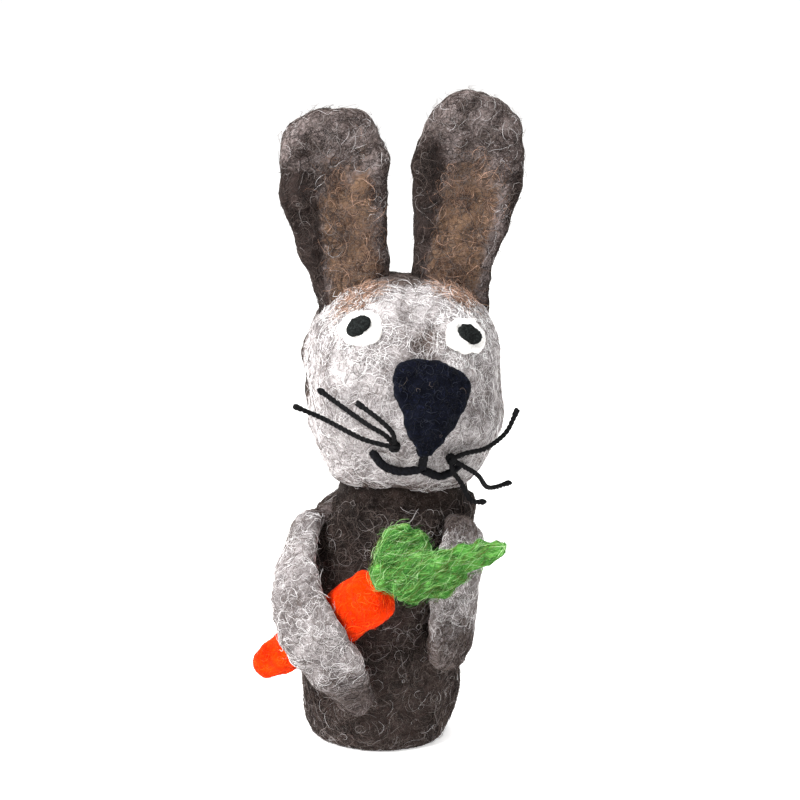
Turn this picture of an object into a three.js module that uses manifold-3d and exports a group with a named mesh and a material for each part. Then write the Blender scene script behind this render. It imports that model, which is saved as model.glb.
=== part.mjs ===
// A felted wool finger puppet: a rabbit that hugs a carrot. Millimetres, +Z up, the rabbit faces -Y.
// The origin is the middle of the finger hole's mouth, on the plane that the puppet stands on.
import * as THREE from "three";
import { mergeVertices } from "three/addons/utils/BufferGeometryUtils.js";
import Module from "manifold-3d";

const wasm = await Module();
wasm.setup();

// ---------- Driving dimensions ----------
const GAP = 0.35; // left between pieces that touch

// The trunk is one felt tube with a domed, closed top. The dome is the ball that the head turns on.
const BORE_RADIUS = 10;
const RIM_WIDTH = 2.2; // flat ring round the mouth
const BELLY_RADIUS = 15.8;
const BELLY_RISE = 15; // height over which the base rounds out to the belly
const NECK_HEIGHT = 49.5; // height of the neck's centre
const DOME_RADIUS = 13;
const DOME_WALL = 3.4;
const LEAN = 4.8; // how far the neck stands to +X of the base
const LEAN_CURVE = 2.5; // the higher, the later the trunk starts to lean

// Head, measured from its own centre.
const CHIN_RISE = 1; // chin above the neck's centre
const HEAD_HALF = new THREE.Vector3(19, 17.5, 21.5);
const HEAD_ROUND = 2.6; // exponent of the rounded-box form: 2 is an ellipsoid
const HEAD_RISE = HEAD_HALF.z + CHIN_RISE; // head's centre above the neck's centre
const HEAD_TURN = 16; // degrees, towards the rabbit's left
const HEAD_WALL = 3;
const FACE_EDGE = -3.5; // y of the seam between face and hood
const MUZZLE = { out: 3.6, across: 11, up: 10, rise: -1 };
const WAD_THICKNESS = 2;
const WAD_RISE = 7; // height of the wad's lower edge above the neck's centre

// Ears: each is one flat blade that flexes where it meets the head.
const EAR_THICKNESS = 6.4;
const EAR_SPREAD = 9.3; // of each ear's middle from the head's middle
const EAR_SINK = 3.1; // hinge line below the head's top
const EAR_BACK = 2.5;
const EAR_SPLAY = 8; // degrees outwards
const EAR_BASE = 7.9; // half width at the hinge
const EAR_WIDEST = 10.8; // half width at the widest
const EAR_LENGTH = { left: 39.5, right: 36.5 };
const EAR_BENDS = { forward: 50, back: 35 }; // degrees of clearance cut for the ears' flexing
const LINING_THICKNESS = 0.9;
const LINING_INSET = 3.4;

// Small pieces on the face.
const PATCH = 1.4; // thickness of the nose
const EYE_AT = { left: { x: 9.5, z: 12.2 }, right: { x: -10.4, z: 14 } };
const EYE_WHITE = { across: 4.3, up: 3.3, thick: 0.8 };
const PUPIL = { across: 2.2, up: 1.45, thick: 0.7, tilt: 38 };
// The nose is wide at the top, whose edge slopes down to one side by this many degrees.
const NOSE = { halfWidth: 7.3, top: 8.4, bottom: -9.4, aside: 2.1, tip: 0.7, slope: 14 };
const LIP_DROP = 3.4; // middle of the mouth below the nose
const YARN_RADIUS = 0.8;
const WHISKER_RADIUS = 0.5;
const KNOT_RADIUS = 1.3;

// Arms and carrot.
const ARM_HALF_WIDTH = 6.2;
const ARM_HALF_THICKNESS = 2.9;
const CARROT = { length: 34, radius: 5, tip: 2.3 };
const CARROT_CROWN = { round: 4.4, out: 2.4, down: 12.2 }; // from the trunk's side and the neck's centre
const CARROT_TOWARDS = new THREE.Vector3(25, -8.2, 19).normalize();

// ---------- Materials ----------
const felt = (color) => new THREE.MeshStandardMaterial({ color, roughness: 0.95, metalness: 0 });
const materials = {
  darkFelt: felt(0x4a413d),
  brownFelt: felt(0x5d524b),
  greyFelt: felt(0xa8a09e),
  tanFelt: felt(0x8f7361),
  whiteFelt: felt(0xf2f1ee),
  blackFelt: felt(0x14141a),
  blackThread: felt(0x101012),
  orangeFelt: felt(0xf0590c),
  greenFelt: felt(0x4c8f3c),
  wadding: felt(0xb7aea6),
};

// ---------- Solids ----------
function solidOf(geometry) {
  const bare = geometry.clone();
  bare.deleteAttribute("normal");
  bare.deleteAttribute("uv");
  const merged = mergeVertices(bare, 1e-3);
  return new wasm.Manifold(
    new wasm.Mesh({
      numProp: 3,
      vertProperties: merged.attributes.position.array,
      triVerts: new Uint32Array(merged.index.array),
    }),
  );
}

function geometryOf(solid) {
  const mesh = solid.getMesh();
  const geometry = new THREE.BufferGeometry();
  geometry.setAttribute("position", new THREE.BufferAttribute(mesh.vertProperties, 3));
  geometry.setIndex(new THREE.BufferAttribute(mesh.triVerts, 1));
  const flat = geometry.toNonIndexed();
  flat.computeVertexNormals();
  return flat;
}

function piece(parent, name, geometry, material) {
  const mesh = new THREE.Mesh(geometry, material);
  mesh.name = name;
  parent.add(mesh);
  return mesh;
}

function eachVertex(geometry, change) {
  const position = geometry.attributes.position;
  const point = new THREE.Vector3();
  for (let i = 0; i < position.count; i++) {
    change(point.fromBufferAttribute(position, i));
    position.setXYZ(i, point.x, point.y, point.z);
  }
  return geometry;
}

// A sphere, with its poles up and down.
function ball(radius, centre, across = 24, up = 16) {
  return solidOf(
    new THREE.SphereGeometry(radius, across, up).rotateX(Math.PI / 2).translate(centre.x, centre.y, centre.z),
  );
}

function block(low, high) {
  const size = new THREE.Vector3().subVectors(high, low);
  const middle = new THREE.Vector3().addVectors(low, high).multiplyScalar(0.5);
  return solidOf(new THREE.BoxGeometry(size.x, size.y, size.z).translate(middle.x, middle.y, middle.z));
}

// An outline drawn in X and Z, pushed through from y to y + depth.
function slab(shape, y, depth, bevel) {
  const geometry = new THREE.ExtrudeGeometry(shape, {
    depth,
    curveSegments: 8,
    bevelEnabled: Boolean(bevel),
    ...bevel,
  });
  return solidOf(geometry.rotateX(Math.PI / 2).translate(0, y + depth, 0));
}

// A thread of round section along a curve.
function thread(points, radius, sides = 8, stepLength = 2.5 * radius * 2) {
  const path = new THREE.CatmullRomCurve3(points);
  const section = Array.from({ length: sides }, (_, i) => {
    const angle = (2 * Math.PI * i) / sides;
    return new THREE.Vector2(radius * Math.cos(angle), radius * Math.sin(angle));
  });
  const steps = Math.max(4, Math.round(path.getLength() / stepLength));
  return new THREE.ExtrudeGeometry(new THREE.Shape(section), { steps, extrudePath: path, curveSegments: 1 });
}

// A round-ended flat roll of felt along a curve. size(s) gives its half width and half thickness at share s
// of the way along, and facing(point) the way that its flat side looks.
function roll(points, size, facing, sides = 14) {
  const path = new THREE.CatmullRomCurve3(points);
  const length = path.getLength();
  const straight = length / size(0.5)[0] - 2;
  const capsule = new THREE.CapsuleGeometry(1, straight, 4, sides, Math.max(4, Math.round(straight * 1.6)));
  const along = new THREE.Vector3();
  const flat = new THREE.Vector3();
  const side = new THREE.Vector3();
  return eachVertex(capsule, (v) => {
    const s = THREE.MathUtils.clamp(v.y / (straight + 2) + 0.5, 0, 1);
    const at = path.getPointAt(s);
    along.copy(path.getTangentAt(s));
    flat.copy(facing(at)).addScaledVector(along, -along.dot(facing(at))).normalize();
    side.crossVectors(along, flat);
    const [halfWidth, halfThickness] = size(s);
    v.copy(at.addScaledVector(side, v.x * halfWidth).addScaledVector(flat, v.z * halfThickness));
  });
}

// ---------- The trunk's own frame ----------
const neck = new THREE.Vector3(LEAN, 0, NECK_HEIGHT);
const leanAt = (z) => LEAN * THREE.MathUtils.clamp(z / NECK_HEIGHT, 0, 1) ** LEAN_CURVE;

// A point at an angle from the front (positive towards the rabbit's left), out from the trunk's middle line.
function round(degrees, out, z) {
  const angle = THREE.MathUtils.degToRad(degrees);
  return new THREE.Vector3(leanAt(z) + out * Math.sin(angle), -out * Math.cos(angle), z);
}
const quarter = Math.PI / 2;

// The trunk's outer radius from the belly up to the neck, with shoulders rounded out just below the neck.
function flankAt(z) {
  const fall = THREE.MathUtils.clamp((NECK_HEIGHT - z) / (NECK_HEIGHT - BELLY_RISE), 0, 1);
  return DOME_RADIUS + (BELLY_RADIUS - DOME_RADIUS) * Math.sin(quarter * Math.sqrt(fall));
}
const outward = (point) => new THREE.Vector3(point.x - leanAt(point.z), point.y, 0).normalize();

function trunk() {
  const rimOuter = BORE_RADIUS + RIM_WIDTH;
  const domeBore = DOME_RADIUS - DOME_WALL;
  const outline = [];
  for (let i = 8; i >= 1; i--) {
    const angle = (quarter * i) / 8;
    const up = DOME_RADIUS * Math.sin(angle);
    outline.push(new THREE.Vector2(DOME_RADIUS * Math.cos(angle), NECK_HEIGHT + up));
  }
  for (let i = 0; i <= 6; i++) {
    const z = NECK_HEIGHT + (BELLY_RISE - NECK_HEIGHT) * (i / 6) ** 2;
    outline.push(new THREE.Vector2(flankAt(z), z));
  }
  for (let i = 5; i >= 0; i--) {
    const angle = (quarter * i) / 6;
    outline.push(
      new THREE.Vector2(
        rimOuter + (BELLY_RADIUS - rimOuter) * Math.sin(angle),
        BELLY_RISE * (1 - Math.cos(angle)),
      ),
    );
  }
  outline.push(new THREE.Vector2(BORE_RADIUS, 0), new THREE.Vector2(BORE_RADIUS, NECK_HEIGHT / 2));
  for (let i = 0; i <= 6; i++) {
    const angle = (quarter * i) / 6;
    outline.push(new THREE.Vector2(domeBore * Math.cos(angle), NECK_HEIGHT + domeBore * Math.sin(angle)));
  }
  outline[0].x = 0;
  outline.at(-1).x = 0;
  outline.reverse();
  const tube = new THREE.LatheGeometry(outline, 28).rotateX(Math.PI / 2);
  return eachVertex(tube, (v) => v.setX(v.x + leanAt(v.z)));
}

// ---------- The head's own frame ----------
const neckInHead = new THREE.Vector3(0, 0, -HEAD_RISE);

function muzzleAt(x, y, z) {
  const spread = (x / MUZZLE.across) ** 2 + ((z - MUZZLE.rise) / MUZZLE.up) ** 2;
  return MUZZLE.out * Math.exp(-spread) * THREE.MathUtils.smoothstep(-y, 0, 8);
}

// The head's outer form, grown outwards on all sides.
function headForm(grow, across = 28, up = 18) {
  const half = HEAD_HALF.clone().addScalar(grow);
  return eachVertex(new THREE.SphereGeometry(1, across, up).rotateX(Math.PI / 2), (v) => {
    const sum =
      Math.abs(v.x / half.x) ** HEAD_ROUND +
      Math.abs(v.y / half.y) ** HEAD_ROUND +
      Math.abs(v.z / half.z) ** HEAD_ROUND;
    v.multiplyScalar(sum ** (-1 / HEAD_ROUND));
    v.y -= muzzleAt(v.x, v.y, v.z);
  });
}

// The point of the head's front at x and z, lifted off the surface.
function onFace(x, z, lift) {
  const depth = (px, pz) => {
    const rest = 1 - Math.abs(px / HEAD_HALF.x) ** HEAD_ROUND - Math.abs(pz / HEAD_HALF.z) ** HEAD_ROUND;
    const y = -HEAD_HALF.y * Math.max(rest, 1e-4) ** (1 / HEAD_ROUND);
    return y - muzzleAt(px, y, pz);
  };
  const step = 0.05;
  const y = depth(x, z);
  const normal = new THREE.Vector3(
    (depth(x + step, z) - depth(x - step, z)) / (2 * step),
    -1,
    (depth(x, z + step) - depth(x, z - step)) / (2 * step),
  ).normalize();
  return { point: new THREE.Vector3(x, y, z).addScaledVector(normal, lift), normal };
}

// A layer lying on the head, from one height above it to another, inside a cutter.
const layer = (from, thick, cutter) =>
  solidOf(headForm(from + thick)).subtract(solidOf(headForm(from))).intersect(cutter);

function socket() {
  const wadBore = DOME_RADIUS + 2 * GAP + WAD_THICKNESS;
  const floor = new THREE.Vector3(-40, -40, -HEAD_RISE + WAD_RISE - GAP);
  return ball(DOME_RADIUS + GAP, neckInHead).add(
    ball(wadBore + GAP, neckInHead).intersect(block(floor, new THREE.Vector3(40, 40, 40))),
  );
}

function headShells() {
  const room = socket().add(earSeat(1, EAR_BASE + GAP)).add(earSeat(-1, EAR_BASE + GAP));
  const shell = solidOf(headForm(0)).subtract(solidOf(headForm(-HEAD_WALL))).subtract(room);
  const front = block(new THREE.Vector3(-40, -40, -40), new THREE.Vector3(40, FACE_EDGE - GAP / 2, 40));
  const back = block(new THREE.Vector3(-40, FACE_EDGE + GAP / 2, -40), new THREE.Vector3(40, 40, 40));
  const coreFloor = -HEAD_RISE + WAD_RISE + GAP;
  const below = block(new THREE.Vector3(-40, -40, -40), new THREE.Vector3(40, 40, coreFloor));
  const core = solidOf(headForm(-HEAD_WALL - GAP)).subtract(room).subtract(below);
  return { face: shell.intersect(front), hood: shell.intersect(back), core };
}

function neckWad() {
  const inner = DOME_RADIUS + GAP;
  const cap = block(
    new THREE.Vector3(-40, -40, -HEAD_RISE + WAD_RISE),
    new THREE.Vector3(40, 40, 40),
  );
  return ball(inner + WAD_THICKNESS, neckInHead).subtract(ball(inner, neckInHead)).intersect(cap);
}

// ---------- Ears, each in a frame with its hinge line on X and its tip up +Z ----------
function earOutline(base, widest, length) {
  const shape = new THREE.Shape();
  shape.moveTo(-base, 0);
  shape.lineTo(base, 0);
  shape.bezierCurveTo(base, length * 0.25, widest, length * 0.4, widest, length * 0.66);
  shape.bezierCurveTo(widest, length * 0.9, widest * 0.6, length, 0, length);
  shape.bezierCurveTo(-widest * 0.6, length, -widest, length * 0.9, -widest, length * 0.66);
  shape.bezierCurveTo(-widest, length * 0.4, -base, length * 0.25, -base, 0);
  return shape;
}

function earBlade(length) {
  const round = EAR_THICKNESS / 2 - 0.6;
  const bevel = { bevelThickness: round, bevelSize: round, bevelOffset: -round, bevelSegments: 3 };
  const half = EAR_THICKNESS / 2;
  const above = block(new THREE.Vector3(-40, -40, 0), new THREE.Vector3(40, 40, 80));
  const outline = earOutline(EAR_BASE, EAR_WIDEST, length);
  const hinge = new THREE.CylinderGeometry(half, half, 2 * (EAR_BASE - round), 16).rotateZ(Math.PI / 2);
  return slab(outline, -0.6, 1.2, bevel).intersect(above).add(solidOf(hinge));
}

function earLining(length) {
  const inset = earOutline(EAR_BASE - LINING_INSET, EAR_WIDEST - LINING_INSET, length - 1.6 * LINING_INSET);
  const front = -EAR_THICKNESS / 2 - GAP - LINING_THICKNESS;
  const clear = block(new THREE.Vector3(-40, -40, 1.2), new THREE.Vector3(40, 40, 80));
  return slab(inset, front, LINING_THICKNESS).intersect(clear);
}

function earPlace(side) {
  const place = new THREE.Group();
  place.position.set(side * EAR_SPREAD, EAR_BACK, HEAD_HALF.z - EAR_SINK);
  place.rotation.y = side * THREE.MathUtils.degToRad(EAR_SPLAY);
  place.updateMatrix();
  return place;
}

// The room that an ear needs round its hinge line: a round seat and a valley in front and behind.
function earSeat(side, reach) {
  const half = EAR_THICKNESS / 2 + GAP;
  const forward = THREE.MathUtils.degToRad(EAR_BENDS.forward);
  const back = THREE.MathUtils.degToRad(EAR_BENDS.back);
  const front = half + LINING_THICKNESS + GAP;
  // A valley's side: the face of the ear, that far from its middle, when it is bent by the angle.
  const faceAt = (angle, way, from, along) =>
    new THREE.Vector2(
      way * (from * Math.cos(angle) + along * Math.sin(angle)),
      along * Math.cos(angle) - from * Math.sin(angle),
    );
  const shape = new THREE.Shape([
    faceAt(back, 1, half, 0),
    faceAt(back, 1, half, 30),
    faceAt(forward, -1, front, 30),
    faceAt(forward, -1, front, 0),
  ]);
  const valley = new THREE.ExtrudeGeometry(shape, { depth: 2 * reach, bevelEnabled: false });
  valley.rotateX(Math.PI / 2).rotateZ(Math.PI / 2).translate(-reach, 0, 0);
  const groove = new THREE.CylinderGeometry(half, half, 2 * reach, 24).rotateZ(Math.PI / 2);
  return solidOf(groove).add(solidOf(valley)).transform(earPlace(side).matrix.elements);
}

// ---------- Pieces on the face ----------
function ellipseCutter(at, across, up, tiltDegrees) {
  const { point, normal } = onFace(at.x, at.z, 0);
  const cutter = new THREE.CylinderGeometry(1, 1, 16, 20);
  cutter.scale(across, 1, up);
  cutter.rotateY(THREE.MathUtils.degToRad(tiltDegrees));
  const turn = new THREE.Matrix4().lookAt(point, point.clone().add(normal), new THREE.Vector3(0, 0, 1));
  cutter.rotateX(Math.PI / 2).applyMatrix4(turn.setPosition(point));
  return solidOf(cutter);
}

function nose() {
  const { halfWidth: w, top, bottom, aside, tip } = NOSE;
  const low = top - 2 * w * Math.tan(THREE.MathUtils.degToRad(NOSE.slope));
  const shape = new THREE.Shape();
  shape.moveTo(aside - w + 1.4, top);
  shape.quadraticCurveTo(aside + 1, top + 1.2, aside + w - 1.8, low + 1.2);
  shape.quadraticCurveTo(aside + w + 0.4, low + 0.2, aside + w - 0.1, low - 2.4);
  shape.quadraticCurveTo(aside + w - 1.6, top - 11, tip + 1.1, bottom);
  shape.lineTo(tip - 0.9, bottom);
  shape.quadraticCurveTo(aside - w + 1.3, top - 9.5, aside - w + 0.2, top - 3.6);
  shape.quadraticCurveTo(aside - w - 0.2, top - 0.8, aside - w + 1.4, top);
  return layer(GAP, PATCH, slab(shape, -30, 28));
}

// A yarn lying on the face through places given as [x, z].
function yarn(places) {
  const points = places.map(([x, z]) => onFace(x, z, YARN_RADIUS + GAP).point);
  return thread(points, YARN_RADIUS, 8, 1.6);
}

// Whiskers, each as places [x, z, distance in front of the face] after it leaves its knot.
const whiskers = {
  right: {
    knot: [-4.9, -7.2],
    lower: [[-7.9, -7, 2.2], [-12, -5.6, 3.6], [-18, -2.6, 4.6], [-24, 0.4, 5.4]],
    middle: [[-7.2, -5, 2.6], [-10.4, -3, 3.2], [-14.6, -0.2, 3.2], [-19, 3, 3.2]],
    upper: [[-5.2, -4, 3], [-8.2, -1.4, 3.8], [-12.4, 1.2, 4]],
  },
  left: {
    knot: [5.9, -10.4],
    upper: [[8.8, -9.8, 2.2], [13.2, -9.4, 3], [17.8, -7.2, 3], [19.9, -2.4, 3]],
    middle: [[8.2, -12.2, 2.8], [11.8, -14.8, 4.4], [15.2, -18.8, 5.4], [20.4, -19, 6.2]],
    lower: [[6.4, -13.2, 3.2], [8.2, -15.8, 4.4], [10.2, -19.4, 5], [13.4, -20.4, 6]],
  },
};

// Beyond the face's edge a whisker keeps the depth that the face has near its edge.
function whiskerPoint([x, z, ahead]) {
  const nearX = THREE.MathUtils.clamp(x, -HEAD_HALF.x * 0.86, HEAD_HALF.x * 0.86);
  const nearZ = Math.max(z, -HEAD_HALF.z * 0.7);
  const { point } = onFace(nearX, nearZ, 0);
  return point.set(x, point.y - ahead, z);
}

// A whisker's thread starts a gap away from its knot.
function whisker(knotPlace, places) {
  const points = places.map(whiskerPoint);
  const start = points[0].clone().sub(knotPlace).setLength(KNOT_RADIUS + GAP).add(knotPlace);
  return thread([start, ...points], WHISKER_RADIUS, 6, 2.6);
}

// ---------- Arms ----------
// Narrow at the shoulder, widest at the elbow, a little narrower at the paw.
const armSize = (s) => [
  ARM_HALF_WIDTH * (0.62 + 0.38 * Math.sin(Math.PI * Math.min(1, 0.12 + 0.78 * s))),
  ARM_HALF_THICKNESS,
];
// A place for an arm's middle line: so far outside the trunk's side, and so far below the neck's centre.
function beside(degrees, out, down) {
  const z = NECK_HEIGHT - down;
  return round(degrees, flankAt(z) + ARM_HALF_THICKNESS + GAP + out, z);
}
const overCarrot = 2 * CARROT.radius + GAP;
const armPoints = {
  right: [
    beside(-74, -1.2, 0.8),
    beside(-66, 0.8, 4.5),
    beside(-52, 3.8, 8.8),
    beside(-36.5, overCarrot - 2, 13.6),
    beside(-25, overCarrot, 20),
    beside(-15.5, overCarrot - 4.6, 28.5),
    beside(-9, 0.9, 35),
    beside(-5, 0.2, 39.5),
  ],
  left: [
    beside(52, 0, 0.5),
    beside(53, 0, 9),
    beside(51, 0, 18),
    beside(49, 0.1, 26),
    beside(47, 0.2, 32.5),
  ],
};
// The right arm bends round the carrot: there its flat side looks more to the front than straight outwards.
function facingCarrot(point) {
  const turn = THREE.MathUtils.smoothstep(NECK_HEIGHT - point.z, 2, 12);
  return outward(point).add(new THREE.Vector3(-0.15, -0.9, 0).multiplyScalar(turn)).normalize();
}

// ---------- Carrot, in a frame with its tip at the origin and its crown up +Y ----------
function carrotRoot() {
  const { length, radius, tip } = CARROT;
  const outline = [new THREE.Vector2(0, 0), new THREE.Vector2(tip * 0.75, 0.35), new THREE.Vector2(tip, 1.6)];
  const flank = new THREE.SplineCurve([
    new THREE.Vector2(tip, 1.6),
    new THREE.Vector2((tip + radius) / 2 + 0.5, length * 0.45),
    new THREE.Vector2(radius, length * 0.82),
  ]);
  outline.push(...flank.getPoints(6).slice(1));
  outline.push(new THREE.Vector2(radius * 0.9, length * 0.93));
  outline.push(new THREE.Vector2(radius * 0.55, length * 0.985), new THREE.Vector2(0, length));
  return new THREE.LatheGeometry(outline, 20);
}

const crownHeight = NECK_HEIGHT - CARROT_CROWN.down;
const crownOut = flankAt(crownHeight) + CARROT.radius + GAP + CARROT_CROWN.out;
const crown = round(CARROT_CROWN.round, crownOut, crownHeight);
const carrotTip = crown.clone().addScaledVector(CARROT_TOWARDS, -CARROT.length);
const facingFront = () => new THREE.Vector3(0, -1, 0);

// A leaf's root is given in carrot radii from the crown's middle, and the rest of it in millimetres.
function leaf(root, places, halfWidth, halfThickness) {
  const points = [root.map((share) => share * CARROT.radius), ...places];
  const line = points.map((place) => crown.clone().add(new THREE.Vector3(...place)));
  return roll(line, (s) => [halfWidth * (1 - 0.3 * s), halfThickness], facingFront, 12);
}
const leaves = {
  leaf_upper: leaf([-0.16, -0.12, 0.44], [[-0.6, -1.2, 7], [2.6, -1.6, 10.4], [6.6, -1.2, 9.6]], 4, 1.9),
  leaf_front: leaf([0.24, -0.52, 0.04], [[6.6, -3.2, 3], [12.8, -3, 6.2], [20.8, -1.6, 10.2]], 3.7, 1.7),
  leaf_under: leaf([0.36, 0.32, -0.36], [[6.8, 0.9, -1.2], [11.2, 0.4, 0.8], [14.6, 0, 3.2]], 3, 1.5),
};

// ---------- Assembly ----------
const puppet = new THREE.Group();
const head = new THREE.Group();
head.position.set(neck.x, neck.y, neck.z + HEAD_RISE);
head.rotation.z = THREE.MathUtils.degToRad(HEAD_TURN);
puppet.add(head);

piece(puppet, "body_tube", trunk(), materials.darkFelt);
piece(puppet, "arm_right", roll(armPoints.right, armSize, facingCarrot), materials.greyFelt);
piece(puppet, "arm_left", roll(armPoints.left, armSize, outward), materials.greyFelt);

const carrot = piece(puppet, "carrot_root", carrotRoot(), materials.orangeFelt);
carrot.position.copy(carrotTip);
carrot.quaternion.setFromUnitVectors(new THREE.Vector3(0, 1, 0), CARROT_TOWARDS);
for (const [name, geometry] of Object.entries(leaves)) piece(puppet, name, geometry, materials.greenFelt);

const shells = headShells();
piece(head, "neck_wad", geometryOf(neckWad()), materials.wadding);
piece(head, "head_core", geometryOf(shells.core), materials.wadding);
piece(head, "face", geometryOf(shells.face), materials.greyFelt);
piece(head, "hood", geometryOf(shells.hood), materials.brownFelt);
piece(head, "nose", geometryOf(nose()), materials.blackFelt);

const lip = NOSE.bottom - LIP_DROP;
const philtrum = [[NOSE.tip, NOSE.bottom - 1.4], [NOSE.tip - 0.1, lip + 0.6]];
const mouthRight = [[-1.2, lip], [-3.8, lip - 0.1], [-6.8, lip + 1.2], [-8.6, lip + 3.6]];
const mouthLeft = [[2, lip - 0.6], [4.2, lip - 1.6], [6.4, lip - 1], [8, lip + 0.4]];
piece(head, "philtrum", yarn(philtrum), materials.blackThread);
piece(head, "mouth_right", yarn(mouthRight), materials.blackThread);
piece(head, "mouth_left", yarn(mouthLeft), materials.blackThread);

for (const [sideName, side] of [["left", 1], ["right", -1]]) {
  const eye = EYE_AT[sideName];
  const white = layer(GAP, EYE_WHITE.thick, ellipseCutter(eye, EYE_WHITE.across, EYE_WHITE.up, 0));
  const pupilCutter = ellipseCutter(eye, PUPIL.across, PUPIL.up, side * PUPIL.tilt);
  piece(head, `eye_white_${sideName}`, geometryOf(white), materials.whiteFelt);
  piece(
    head,
    `pupil_${sideName}`,
    geometryOf(layer(2 * GAP + EYE_WHITE.thick, PUPIL.thick, pupilCutter)),
    materials.blackThread,
  );

  const ear = earPlace(side);
  head.add(ear);
  piece(ear, `ear_blade_${sideName}`, geometryOf(earBlade(EAR_LENGTH[sideName])), materials.brownFelt);
  piece(ear, `ear_lining_${sideName}`, geometryOf(earLining(EAR_LENGTH[sideName])), materials.tanFelt);

  const { knot, ...strands } = whiskers[sideName];
  const knotPlace = onFace(knot[0], knot[1], KNOT_RADIUS + GAP).point;
  const knotBall = new THREE.SphereGeometry(KNOT_RADIUS, 10, 6).translate(...knotPlace);
  piece(head, `whisker_knot_${sideName}`, knotBall, materials.blackThread);
  for (const [strandName, places] of Object.entries(strands)) {
    const strand = whisker(knotPlace, places);
    piece(head, `whisker_${sideName}_${strandName}`, strand, materials.blackThread);
  }
}

export default puppet;
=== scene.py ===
"""The looks of a felted wool rabbit finger puppet with a carrot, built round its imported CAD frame."""

import math

import bpy
import numpy as np
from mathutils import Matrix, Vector
from mathutils.bvhtree import BVHTree


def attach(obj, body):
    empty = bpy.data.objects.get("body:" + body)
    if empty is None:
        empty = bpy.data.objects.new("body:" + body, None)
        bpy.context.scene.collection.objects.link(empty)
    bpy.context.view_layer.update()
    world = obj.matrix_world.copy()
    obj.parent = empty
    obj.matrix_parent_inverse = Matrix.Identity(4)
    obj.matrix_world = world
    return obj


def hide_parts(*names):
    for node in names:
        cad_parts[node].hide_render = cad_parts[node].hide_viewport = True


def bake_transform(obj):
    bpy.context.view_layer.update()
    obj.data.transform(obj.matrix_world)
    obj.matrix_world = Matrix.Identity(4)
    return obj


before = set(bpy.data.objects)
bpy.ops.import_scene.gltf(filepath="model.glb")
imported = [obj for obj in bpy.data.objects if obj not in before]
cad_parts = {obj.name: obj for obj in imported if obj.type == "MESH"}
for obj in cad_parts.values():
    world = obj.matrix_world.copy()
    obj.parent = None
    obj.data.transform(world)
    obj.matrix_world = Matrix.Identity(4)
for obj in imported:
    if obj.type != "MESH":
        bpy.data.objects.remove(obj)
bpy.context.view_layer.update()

MM = 0.001
TAU = 2 * math.pi
scene = bpy.context.scene

# ------- sizes, in millimetres
NECK = np.array([4.8, 0.0, 49.5])
HEAD = np.array([4.8, 0.0, 72.0])
HEAD_TURN = math.radians(16)
HALF = np.array([19.0, 17.5, 21.5])
ROUND = 2.6  # the head's squareness: 2 is an ellipsoid
MUZZLE_OUT = 3.6
DOME, DOME_WALL = 13.0, 3.4
LEAN_POWER = 2.5  # the trunk leans most near the neck
BORE = 10.0
BELLY = 15.8
RIM = 12.2
BELLY_RISE = 15.0
ABOVE_TABLE = 0.08
EAR_BASE, EAR_WIDEST, EAR_HALF = 7.9, 10.8, 3.2
EAR_PLACE = {1: (9.3, 2.5, 18.4), -1: (-9.3, 2.5, 18.4)}
EAR_SPLAY = math.radians(8)
EAR_LENGTH = {1: 39.5, -1: 36.5}
SIDES = ((1, "left"), (-1, "right"))
EYES = {"left": (9.5, 12.2), "right": (-10.4, 14.0)}
EYE_FIBRES = 6.3
GAP = 0.35
ARM_HALF_WIDTH, ARM_HALF_THICKNESS = 6.2, 2.9
ARM_SKIN = 2.95  # half thickness of the visible arm
CARROT_RADIUS, CARROT_LENGTH = 5.0, 34.0
WHISKER_RADIUS = 0.5


# ------- arrays and meshes
def turn_z(angle):
    c, s = math.cos(angle), math.sin(angle)
    return np.array([[c, -s, 0], [s, c, 0], [0, 0, 1]])


def turn_y(angle):
    c, s = math.cos(angle), math.sin(angle)
    return np.array([[c, 0, s], [0, 1, 0], [-s, 0, c]])


def head_to_frame(p):
    return np.asarray(p, float) @ turn_z(HEAD_TURN).T + HEAD


def ear_to_frame(p, side):
    return head_to_frame(np.asarray(p, float) @ turn_y(side * EAR_SPLAY).T + np.array(EAR_PLACE[side]))


def smooth(t, low=0.0, high=1.0):
    t = np.clip((np.asarray(t, float) - low) / (high - low), 0, 1)
    return t * t * (3 - 2 * t)


def waves(p, size, seed, count=28):
    """A lumpy field of about unit height, from plane waves of about that length."""
    rng = np.random.default_rng(seed)
    k = rng.normal(size=(count, 3))
    k *= (TAU / size * rng.uniform(0.6, 1.5, count) / np.linalg.norm(k, axis=1))[:, None]
    return np.sin(p @ k.T + rng.uniform(0, TAU, count)).sum(1) * math.sqrt(2 / count)


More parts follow.
